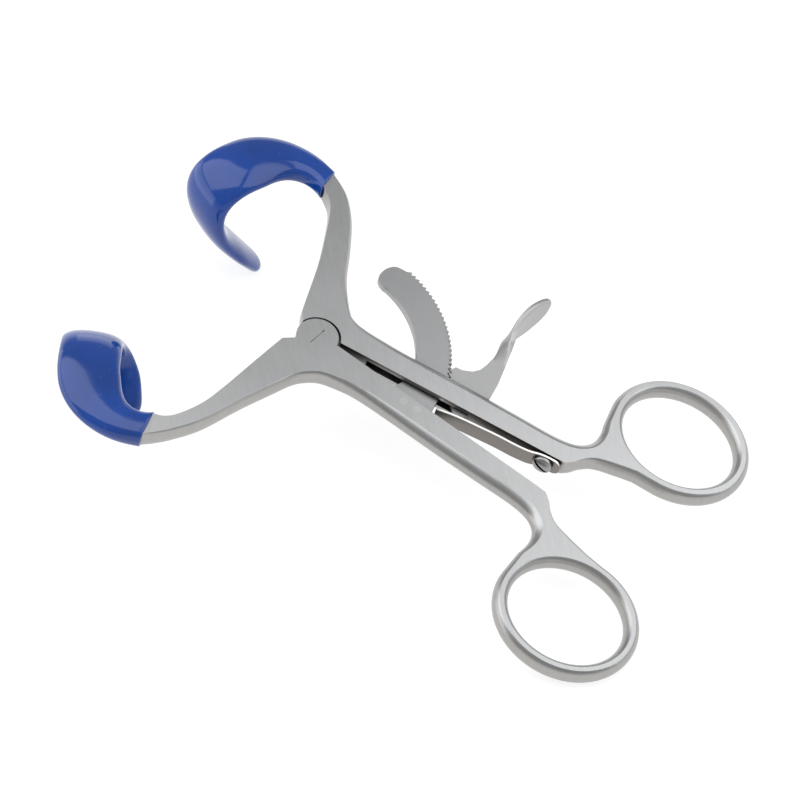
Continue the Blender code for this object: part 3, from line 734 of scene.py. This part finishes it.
def thumb_pad_shape():
    """The stem above the pawl, twisting a quarter turn into the pad."""
    rows = [
        # centre u, centre v, half width, twist, thickness, squareness, drop
        (38.82, 18.4, 1.84, 0, 1.79, 0.3, 0.0),
        (38.8, 19.4, 1.68, 1, 1.79, 0.3, 0.0),
        (38.72, 20.9, 1.54, 5, 1.79, 0.3, 0.0),
        (38.55, 22.5, 1.46, 14, 1.78, 0.3, 0.0),
        (38.35, 24.2, 1.46, 32, 1.75, 0.3, 0.0),
        (38.1, 26.0, 1.7, 56, 1.7, 0.3, 0.1),
        (37.95, 28.0, 2.5, 76, 1.65, 0.32, 0.3),
        (38.0, 30.2, 3.6, 87, 1.6, 0.34, 0.6),
        (38.4, 32.8, 4.8, 90, 1.55, 0.36, 0.9),
        (39.1, 35.6, 5.5, 90, 1.55, 0.36, 1.1),
        (40.05, 38.2, 5.2, 90, 1.5, 0.4, 1.1),
        (41.0, 40.3, 4.2, 90, 1.4, 0.45, 0.8),
        (41.65, 41.6, 2.7, 90, 1.2, 0.55, 0.5),
        (42.0, 42.3, 0.7, 90, 0.6, 0.9, 0.3),
    ]
    fine = spline(rows, 8)
    rings = []
    for i, (u, v, half, twist, thick, square, drop) in enumerate(fine):
        ahead = fine[min(i + 1, len(fine) - 1)]
        behind = fine[max(i - 1, 0)]
        run = Vector((ahead[0] - behind[0], ahead[1] - behind[1])).normalized()
        across = Vector((run.y, -run.x))
        centre = Vector((u, v))
        ring = ribbon_ring(centre - across * half, centre + across * half, twist, thick, square)
        rings.append([point - Vector((0, 0, drop)) for point in ring])
    return loft("thumb_pad", rings)


def spring_shape():
    """A flat strip, screwed down at its ring end and bent away towards the lever."""
    line = spline([
        (SPRING_START, -2.0), (37.4, -1.2), (43.0, -0.8), (47.5, -0.55), (52.0, -0.5), (55.4, -0.2),
        (57.6, 0.4), (59.6, 0.68), (SPRING_END, 0.7),
    ], 12)
    section = (
        (-1, -0.97), (-0.7, -1), (0.7, -1), (1, -0.97), (1, 0.97), (0.7, 1), (-0.7, 1), (-1, 0.97),
    )
    rings = []
    for i, (u, v) in enumerate(line):
        ahead = line[min(i + 1, len(line) - 1)]
        behind = line[max(i - 1, 0)]
        along = Vector((ahead[0] - behind[0], ahead[1] - behind[1])).normalized()
        side = Vector((-along.y, along.x))
        from_end = min(u - SPRING_START, SPRING_END - u)
        corner = 2.1 if u > (SPRING_START + SPRING_END) / 2 else 0.7
        rounded = math.sqrt(max(corner ** 2 - max(corner - from_end, 0) ** 2, 0.01))
        half = SPRING_HALF_WIDTH - corner + rounded
        ring = []
        for a, b in section:
            x = u + side.x * a * SPRING_HALF_THICK
            y = v + side.y * a * SPRING_HALF_THICK
            ring.append(Vector((x, y, MIDDLE_Z + b * half)))
        rings.append(ring)
    return loft("spring_strip", rings)


def screw_shape():
    """A round-headed slotted screw, lying along v into the upper arm."""
    head = [(-1.42, 0.3), (-1.36, 1.0), (-1.18, 1.6), (-0.92, 2.05), (-0.62, 2.32), (-0.5, 2.38),
            (0.02, 2.4), (0.12, 2.36)]
    shank = [(0.12, 1.2), (5.5, 1.15)]
    screw = turned("screw", head + shank, (SCREW_U, 0, MIDDLE_Z), (0, 1, 0))
    slot = block("driver_slot", (-3.0, -3.0, -0.36), (3.0, -0.6, 0.36))
    slot.data.transform(Matrix.Rotation(math.radians(SLOT_TURN), 4, "Y"))
    slot.data.transform(Matrix.Translation((SCREW_U, 0, MIDDLE_Z)))
    carve(screw, [slot])
    return screw


def pivot_shape():
    """The flush pivot with a hair-thin slot, deeper at its two ends."""
    pin = puck("pivot_plug", (0, 0), PIVOT_R, *PIN_Z)
    a = math.radians(PIVOT_SLOT_TURN)
    # Each cut: where it starts and ends, half its width, and its depth.
    cuts = ((-2.5, 2.3, 0.05, 0.2), (-2.5, -1.2, 0.08, 0.35), (1.8, 2.4, 0.13, 0.4))
    cutters = []
    for start, end, half, depth in cuts:
        outline = []
        for x, y in ((start, -half), (end, -half), (end, half), (start, half)):
            outline.append((x * math.cos(a) - y * math.sin(a), x * math.sin(a) + y * math.cos(a)))
        cutters.append(prism("pivot_slot", outline, -depth, 1.0))
    carve(pin, cutters)
    return pin


# ---- materials --------------------------------------------------------------


def shader_of(name):
    """A new material, its nodes and its shader."""
    made = bpy.data.materials.new(name)
    made.use_nodes = True
    tree = made.node_tree
    return made, tree, tree.nodes["Principled BSDF"]


def mapped(tree, turn, scale):
    """Object coordinates, turned about the up axis and then stretched."""
    where = tree.nodes.new("ShaderNodeTexCoord")
    turned_map = tree.nodes.new("ShaderNodeMapping")
    turned_map.vector_type = "POINT"
    turned_map.inputs["Rotation"].default_value = (0, 0, math.radians(turn))
    stretch = tree.nodes.new("ShaderNodeMapping")
    stretch.inputs["Scale"].default_value = scale
    tree.links.new(where.outputs["Object"], turned_map.inputs["Vector"])
    tree.links.new(turned_map.outputs["Vector"], stretch.inputs["Vector"])
    return stretch.outputs["Vector"]


def noise(tree, vector, detail, rough):
    """Noise at the vector's own scale, from 0 to 1."""
    made = tree.nodes.new("ShaderNodeTexNoise")
    made.inputs["Scale"].default_value = 1.0
    made.inputs["Detail"].default_value = detail
    made.inputs["Roughness"].default_value = rough
    tree.links.new(vector, made.inputs["Vector"])
    return made.outputs["Fac"]


def ramp(tree, value, stops):
    """A colour ramp over (position, colour or grey) stops."""
    made = tree.nodes.new("ShaderNodeValToRGB")
    points = made.color_ramp.elements
    while len(points) < len(stops):
        points.new(0.5)
    for point, (position, colour) in zip(points, stops):
        shade = colour if isinstance(colour, tuple) else (colour, colour, colour)
        point.position = position
        point.color = (*shade, 1.0)
    tree.links.new(value, made.inputs["Fac"])
    return made.outputs["Color"]


def remap(tree, value, low, high, to_low, to_high):
    """The value, moved from one range to another and held inside it."""
    made = tree.nodes.new("ShaderNodeMapRange")
    made.inputs["From Min"].default_value = low
    made.inputs["From Max"].default_value = high
    made.inputs["To Min"].default_value = to_low
    made.inputs["To Max"].default_value = to_high
    tree.links.new(value, made.inputs["Value"])
    return made.outputs["Result"]


def math_node(tree, operation, one, two):
    """The named operation on two values, each a number or a node's output."""
    made = tree.nodes.new("ShaderNodeMath")
    made.operation = operation
    for socket, value in zip(made.inputs, (one, two)):
        if isinstance(value, (int, float)):
            socket.default_value = value
        else:
            tree.links.new(value, socket)
    return made.outputs["Value"]


def bump(tree, height, strength, distance, before=None):
    """A bump from the height, on top of the one before it."""
    made = tree.nodes.new("ShaderNodeBump")
    made.inputs["Strength"].default_value = strength
    made.inputs["Distance"].default_value = distance
    tree.links.new(height, made.inputs["Height"])
    if before is not None:
        tree.links.new(before, made.inputs["Normal"])
    return made.outputs["Normal"]


def shades_of(tree, shade, colour):
    """A run of the colour from a darker to a lighter shade of it."""
    dark = tuple(0.72 * c for c in colour)
    light = tuple(min(1.25 * c, 1.0) for c in colour)
    return ramp(tree, shade, ((0.0, dark), (0.5, colour), (1.0, light)))


def facing_mix(tree, colour, other, direction):
    """The colour, or the other one on faces that point along the direction."""
    where = tree.nodes.new("ShaderNodeTexCoord")
    dot = tree.nodes.new("ShaderNodeVectorMath")
    dot.operation = "DOT_PRODUCT"
    tree.links.new(where.outputs["Normal"], dot.inputs[0])
    dot.inputs[1].default_value = direction
    mix = tree.nodes.new("ShaderNodeMix")
    mix.data_type = "RGBA"
    tree.links.new(remap(tree, dot.outputs["Value"], 0.5, 0.85, 0.0, 1.0), mix.inputs["Factor"])
    tree.links.new(colour, mix.inputs[6])
    tree.links.new(other, mix.inputs[7])
    return mix.outputs[2]


def shaded_corners(tree, colour, depth):
    """The colour, darkened where surfaces nearly meet: painted shade."""
    made = tree.nodes.new("ShaderNodeAmbientOcclusion")
    made.samples = 6
    made.inputs["Distance"].default_value = CORNER_REACH
    dark = remap(tree, made.outputs["AO"], 0.35, 0.9, depth, 1.0)
    mix = tree.nodes.new("ShaderNodeVectorMath")
    mix.operation = "SCALE"
    tree.links.new(colour, mix.inputs[0])
    tree.links.new(dark, mix.inputs["Scale"])
    return mix.outputs["Vector"]


def steel(name, up, colour, roughness, turn, brush, pitted, grain, top=None, shade_depth=0.36):
    """Satin steel with fine brush lines that run across the turned X axis.

    Brush is the lines' depth, grain how far they vary the shade, and pitted the depth of
    tiny pits. Faces that point up take the top colour, where there is one: painted light on
    the flats against the painted shade of the sides. Near corners darken towards shade_depth:
    painted shade.
    """
    made, tree, shader = shader_of(name)
    shader.inputs["Metallic"].default_value = 1.0
    fine = noise(tree, mapped(tree, turn, FINE_BRUSH), 3.0, 0.6)
    coarse = noise(tree, mapped(tree, turn, COARSE_BRUSH), 2.0, 0.5)
    cloudy = noise(tree, mapped(tree, 0.0, CLOUDS), 3.0, 0.55)
    pits = noise(tree, mapped(tree, 0.0, PITS), 1.0, 0.5)
    shade = math_node(tree, "ADD", remap(tree, fine, 0.25, 0.75, -0.08 * grain, 0.08 * grain),
                      remap(tree, coarse, 0.25, 0.75, -0.04 * grain, 0.04 * grain))
    shade = math_node(tree, "ADD", shade, remap(tree, cloudy, 0.3, 0.7, -0.02, 0.02))
    shade = math_node(tree, "ADD", shade, 0.5)
    base = shades_of(tree, shade, colour)
    # Painted light and shade: faces that point up take the lighter top colour.
    if top:
        base = facing_mix(tree, base, shades_of(tree, shade, top), up)
    # Painted shade: the colour darkens where surfaces nearly meet.
    tree.links.new(shaded_corners(tree, base, shade_depth), shader.inputs["Base Color"])
    rough = math_node(tree, "ADD", remap(tree, fine, 0.3, 0.7, -0.012, 0.012), roughness)
    rough = math_node(tree, "ADD", rough, remap(tree, cloudy, 0.3, 0.7, -0.012, 0.012))
    tree.links.new(rough, shader.inputs["Roughness"])
    first = bump(tree, fine, brush, 0.00003)
    second = bump(tree, coarse, brush * 0.3, 0.00004, first)
    pit = bump(tree, remap(tree, pits, 0.72, 0.8, 1.0, 0.0), pitted, 0.00004, second)
    tree.links.new(pit, shader.inputs["Normal"])
    return made


def silicone(name, colour):
    """Glossy silicone with a faint ripple and tiny trapped specks."""
    made, tree, shader = shader_of(name)
    shader.inputs["Metallic"].default_value = 0.0
    shader.inputs["IOR"].default_value = 1.45
    shader.inputs["Coat Weight"].default_value = 0.3
    shader.inputs["Coat Roughness"].default_value = 0.08
    shader.inputs["Subsurface Weight"].default_value = 0.06
    shader.inputs["Subsurface Radius"].default_value = (0.0006, 0.0009, 0.002)
    broad = noise(tree, mapped(tree, 0.0, BLUE_CLOUDS), 2.0, 0.5)
    ripple = noise(tree, mapped(tree, 0.0, RIPPLE), 2.0, 0.5)
    dots = tree.nodes.new("ShaderNodeTexVoronoi")
    dots.inputs["Scale"].default_value = 1.0
    tree.links.new(mapped(tree, 20.0, SPECKS), dots.inputs["Vector"])
    speck = remap(tree, dots.outputs["Distance"], 0.045, 0.08, 1.0, 0.0)
    darker = tuple(0.86 * c for c in colour)
    lighter = tuple(1.12 * c for c in colour)
    base = ramp(tree, broad, ((0.3, darker), (0.5, colour), (0.7, lighter)))
    mix = tree.nodes.new("ShaderNodeMix")
    mix.data_type = "RGBA"
    tree.links.new(math_node(tree, "MULTIPLY", speck, 0.5), mix.inputs["Factor"])
    tree.links.new(base, mix.inputs[6])
    mix.inputs[7].default_value = SPECK_BLUE
    tree.links.new(mix.outputs[2], shader.inputs["Base Color"])
    rough = math_node(tree, "ADD", remap(tree, ripple, 0.3, 0.7, -0.02, 0.03), 0.13)
    tree.links.new(rough, shader.inputs["Roughness"])
    wave = bump(tree, ripple, 0.12, 0.00008)
    grain = bump(tree, speck, 0.3, 0.00003, wave)
    tree.links.new(grain, shader.inputs["Normal"])
    return made


# ---- studio -----------------------------------------------------------------


def add_camera(tool):
    """The camera at the viewing angle over the flat of the arms."""
    turn = Matrix.Rotation(math.radians(VIEW_TURN), 4, "Z")
    tip = Matrix.Rotation(math.radians(90 - VIEW_ELEVATION), 4, "X")
    roll = Matrix.Rotation(math.radians(VIEW_ROLL), 4, "Z")
    back = Matrix.Translation((0, 0, VIEW_DISTANCE))
    local = turn @ Matrix.Translation(VIEW_AIM) @ tip @ roll @ back
    data = bpy.data.cameras.new("camera")
    data.lens = VIEW_LENS
    data.sensor_width = 36.0
    data.clip_start = 0.01
    camera = bpy.data.objects.new("camera", data)
    bpy.context.scene.collection.objects.link(camera)
    place_now, turned_by, _ = (tool @ local).decompose()
    camera.location = place_now
    camera.rotation_euler = turned_by.to_euler()
    bpy.context.scene.camera = camera


def add_floor():
    """A plain pale table top that glows evenly, as a light table does."""
    mesh = bpy.data.meshes.new("floor")
    signs = ((-1, -1), (1, -1), (1, 1), (-1, 1))
    corners = [(x * TABLE_HALF, y * TABLE_HALF, 0) for x, y in signs]
    mesh.from_pydata(corners, [], [(0, 1, 2, 3)])
    floor = bpy.data.objects.new("floor", mesh)
    bpy.context.scene.collection.objects.link(floor)
    made, tree, shader = shader_of("pale_table")
    shader.inputs["Base Color"].default_value = (0.25, 0.25, 0.25, 1.0)
    shader.inputs["Roughness"].default_value = 1.0
    shader.inputs["Specular IOR Level"].default_value = 0.0
    shader.inputs["Emission Color"].default_value = (1.0, 1.0, 1.0, 1.0)
    shader.inputs["Emission Strength"].default_value = TABLE_GLOW
    mesh.materials.append(made)


def add_world():
    """Soft studio surroundings: a pale band at the horizon, even walls and a dimmer zenith."""
    world = bpy.data.worlds.new("studio")
    world.use_nodes = True
    tree = world.node_tree
    back = tree.nodes["Background"]
    where = tree.nodes.new("ShaderNodeTexCoord")
    split = tree.nodes.new("ShaderNodeSeparateXYZ")
    tree.links.new(where.outputs["Generated"], split.inputs["Vector"])
    light = ramp(tree, split.outputs["Z"], (
        (0.0, HORIZON_LIGHT), (0.08, HORIZON_LIGHT), (0.24, WALL_LIGHT),
        (0.8, ROOM_LIGHT), (0.91, ROOM_LIGHT), (0.97, ZENITH_LIGHT),
    ))
    tree.links.new(light, back.inputs["Strength"])
    back.inputs["Color"].default_value = (1.0, 1.0, 1.0, 1.0)
    bpy.context.scene.world = world


def add_panels():
    """Large soft panels that face the tool."""
    for name, (spot, size, level) in PANELS.items():
        data = bpy.data.lights.new(name, "AREA")
        data.shape = "RECTANGLE"
        data.size = size[0]
        data.size_y = size[1]
        data.energy = level * math.pi * size[0] * size[1]
        panel = bpy.data.objects.new(name, data)
        panel.location = spot
        panel.rotation_euler = (-Vector(spot)).to_track_quat("-Z", "Y").to_euler()
        bpy.context.scene.collection.objects.link(panel)


# ---- the scene --------------------------------------------------------------


def build_tool(tool):
    """Makes each piece, gives it its look, and rides it on the body it belongs to."""
    up = (tool.to_3x3() @ Vector((0, 0, 1))).normalized()
    upper = arm_matrix(tool, 1)
    lower = arm_matrix(tool, -1)
    looks = {name: steel(name, up, **values) for name, values in STEELS.items()}
    upper_steel = looks["upper_arm_steel"]
    lower_steel = looks["lower_arm_steel"]
    lever_steel = looks["lever_steel"]
    blue = silicone("blue_silicone", SILICONE_BLUE)

    for shape, matrix, body, look, node in (
        (upper_arm_shape(), upper, "upper_half", upper_steel, "upper_arm"),
        (lower_arm_shape(), lower, "lower_half", lower_steel, "lower_arm"),
        (pivot_shape(), tool, "lower_half", lower_steel, "pivot_pin"),
        (screw_shape(), upper, "upper_half", looks["screw_steel"], "spring_screw"),
    ):
        crease(shape)
        place(shape, matrix, body, look, "satin_steel", node)

    bar = ratchet_shape()
    crease(bar)
    place(bar, tool, "lower_half", looks["ratchet_steel"], "plate_steel", "ratchet_bar")

    pawl = lever_shape()
    crease(pawl)
    place(pawl, upper, "lever", lever_steel, "plate_steel", "release_lever")
    pad = thumb_pad_shape()
    crease(pad, 38.0)
    place(pad, upper, "lever", lever_steel, "plate_steel")

    strip = spring_shape()
    crease(strip)
    place(strip, upper, "upper_half", looks["spring_strip_steel"], "spring_steel", "leaf_spring")

    for k, spot in enumerate(RIVETS, 1):
        rivet = puck(f"rivet_{k}", spot, RIVET_R, *PIN_Z)
        crease(rivet)
        place(rivet, lower, "lower_half", looks["pin_steel"], "satin_steel", f"ratchet_rivet_{k}")
    pin = puck("lever_pin_end", LEVER_PIN, LEVER_PIN_R, *PIN_Z)
    crease(pin)
    place(pin, upper, "upper_half", upper_steel, "satin_steel", "lever_pin")

    upper_boot = boot("upper_boot_skin", HOOK_UPPER)
    place(upper_boot, upper, "upper_half", blue, "blue_silicone", "upper_jaw_boot")
    lower_boot = boot("lower_boot_skin", HOOK_LOWER)
    place(lower_boot, lower, "lower_half", blue, "blue_silicone", "lower_jaw_boot")


with open("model.json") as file:
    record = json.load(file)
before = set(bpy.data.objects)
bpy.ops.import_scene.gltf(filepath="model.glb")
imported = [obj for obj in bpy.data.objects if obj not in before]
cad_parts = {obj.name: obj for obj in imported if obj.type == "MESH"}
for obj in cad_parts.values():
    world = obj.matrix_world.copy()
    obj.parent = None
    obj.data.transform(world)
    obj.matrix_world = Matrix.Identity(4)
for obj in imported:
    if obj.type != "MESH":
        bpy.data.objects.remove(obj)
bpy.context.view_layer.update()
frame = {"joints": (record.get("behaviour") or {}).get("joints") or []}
tool = tool_matrix(frame)
build_tool(tool)
add_camera(tool)
add_floor()
add_world()
add_panels()
bpy.context.scene.view_settings.view_transform = "Standard"
